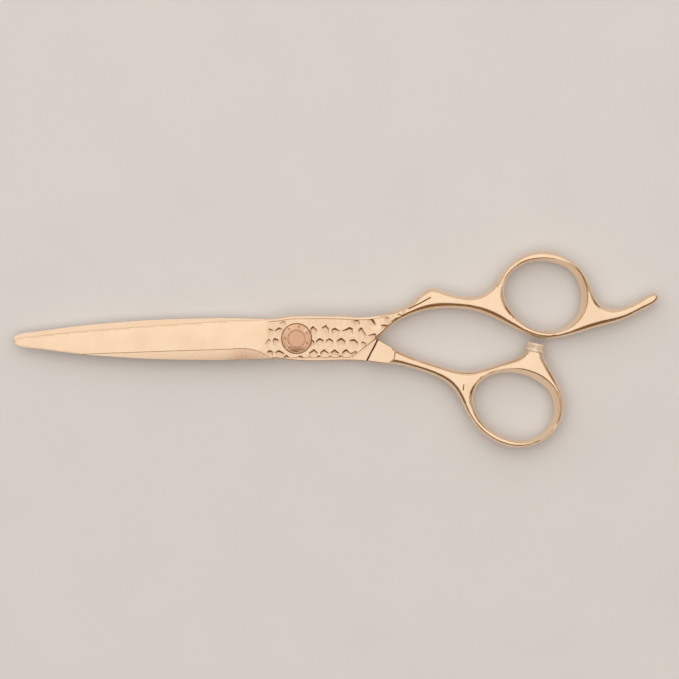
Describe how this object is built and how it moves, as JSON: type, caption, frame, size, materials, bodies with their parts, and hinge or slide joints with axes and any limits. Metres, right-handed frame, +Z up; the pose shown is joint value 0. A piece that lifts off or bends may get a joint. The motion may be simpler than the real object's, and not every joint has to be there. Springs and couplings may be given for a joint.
{
  "type": "hair cutting shears",
  "caption": "Pair of hairdressing shears with slim pointed blades, a round tension dial at the pivot, offset finger rings, a fixed finger rest and a small bumper.",
  "frame": {"origin": "on the pivot axis, at the flat underside of the pivot bolt's head, which lies in the resting plane", "axes": "+X from the pivot to the handles, +Y to the finger ring's side, +Z up out of the dial"},
  "size_m": [0.1695, 0.0517, 0.0071],
  "materials": {
    "rose_gold": "polished rose-gold plate",
    "rose_gold_turned": "turned, then plated rose gold",
    "copper_rose": "satin copper-rose plate",
    "bronze": "sintered bronze",
    "bearing_steel": "ground and polished",
    "spring_steel": "rolled",
    "cage_nylon": "moulded",
    "washer_plastic": "skived sheet",
    "bumper_nylon": "soft, slightly translucent"
  },
  "bodies": {
    "finger_side": {"finger_half": "rose_gold", "pivot_bolt": "rose_gold_turned", "click_plate": "spring_steel", "spring_washer": "spring_steel", "ride_washer": "washer_plastic"},
    "thumb_side": {"thumb_half": "rose_gold", "pivot_bushing": "bronze", "thrust_washer": "bearing_steel", "bumper": "bumper_nylon", "bumper_stud": "spring_steel"},
    "dial": {"tension_dial": "rose_gold_turned", "dial_cap": "copper_rose"},
    "ball_race": {"ball_cage": "cage_nylon", "bearing_ball_1": "bearing_steel", "bearing_ball_2": "bearing_steel", "bearing_ball_3": "bearing_steel", "bearing_ball_4": "bearing_steel", "bearing_ball_5": "bearing_steel", "bearing_ball_6": "bearing_steel", "bearing_ball_7": "bearing_steel", "bearing_ball_8": "bearing_steel"}
  },
  "joints": [
    {"name": "blade_pivot", "type": "hinge", "parent": "finger_side", "child": "thumb_side", "pos_m": [0, 0, 0.003], "axis": [0, 0, -1], "range_deg": [-0.9, 95]},
    {"name": "dial_turn", "type": "hinge", "parent": "finger_side", "child": "dial", "pos_m": [0, 0, 0.006], "axis": [0, 0, 1], "range_deg": [-154.3, 154.3]},
    {"name": "race_turn", "type": "hinge", "parent": "finger_side", "child": "ball_race", "pos_m": [0, 0, 0.00125], "axis": [0, 0, -1], "range_deg": [-1, 48]}
  ],
  "couplings": [
    {"joint": "race_turn", "follows": "blade_pivot", "ratio": 0.5}
  ]
}
